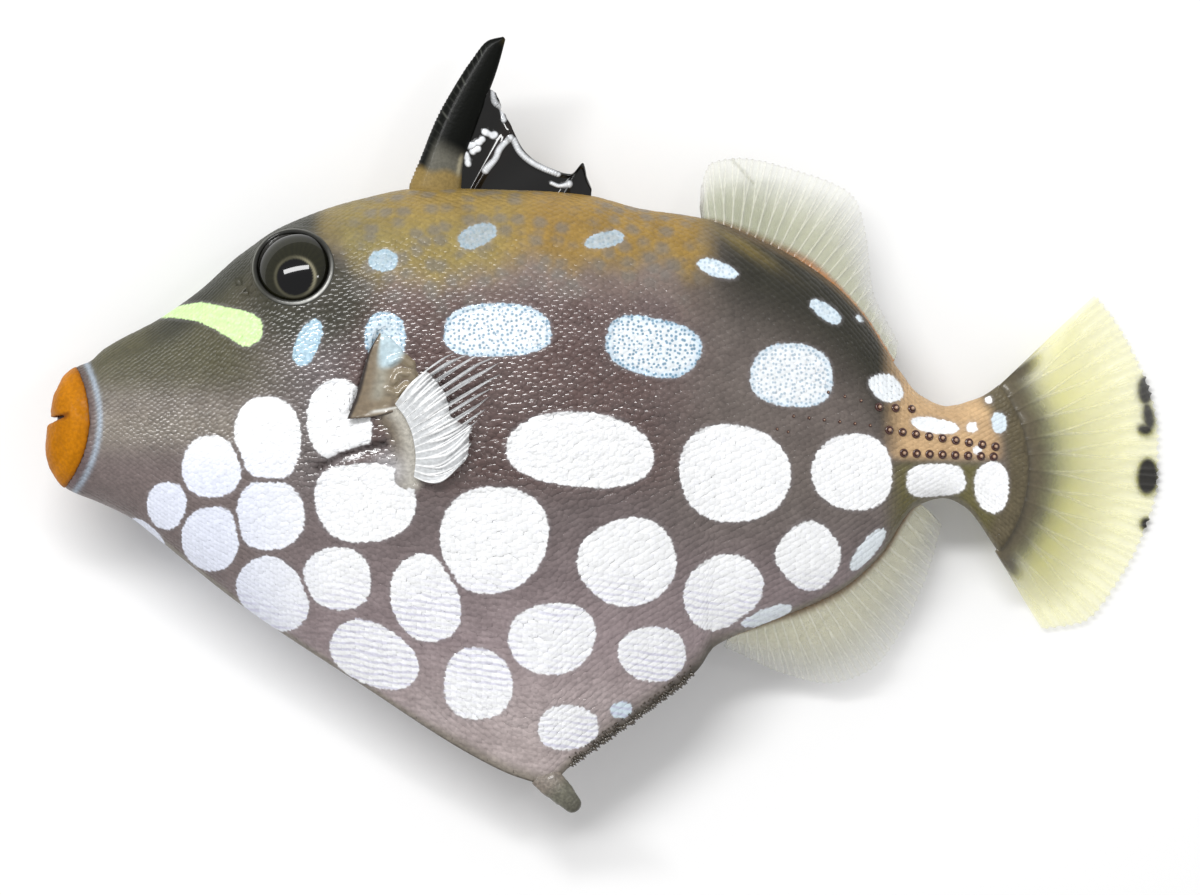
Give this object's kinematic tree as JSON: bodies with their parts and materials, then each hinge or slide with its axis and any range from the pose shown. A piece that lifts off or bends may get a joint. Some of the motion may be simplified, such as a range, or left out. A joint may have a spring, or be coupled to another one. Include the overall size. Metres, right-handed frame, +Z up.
{
  "type": "clown triggerfish",
  "caption": "Young clown triggerfish lying on its right side, first spine raised, fins spread; white spots on brown, orange lips; a still life-size model that rests on a shelf.",
  "frame": {"origin": "middle of the flat under the trunk that the fish lies on", "axes": "+X from snout to tail, +Y from belly to back, +Z up from the floor out of the fish's left flank"},
  "size_m": [0.1221, 0.0845, 0.0243],
  "materials": {
    "skin": "wet, leathery, fine scales; purple brown with white spots",
    "tail_skin": "wet, leathery; orange tan with dark red tubercles",
    "lips": "soft satin orange",
    "eye": "clear wet gloss over a dark iris",
    "black_spine": "glossy black",
    "clear_fin": "pale, see-through membrane on fine rays",
    "yellow_fin": "yellow, see-through membrane on rays, dark at the rim",
    "pelvic": "rough, grey"
  },
  "bodies": {
    "root": {"head": "skin", "trunk": "skin", "tail_stalk": "tail_skin", "upper_lip": "lips", "lower_lip": "lips", "eye_left": "eye", "eye_right": "eye", "dorsal_spine": "black_spine", "dorsal_web": "black_spine", "soft_dorsal_fin": "clear_fin", "anal_fin": "clear_fin", "pectoral_fin_left": "clear_fin", "pectoral_fin_right": "clear_fin", "caudal_fin": "yellow_fin", "pelvic_spine": "pelvic"}
  },
  "joints": []
}
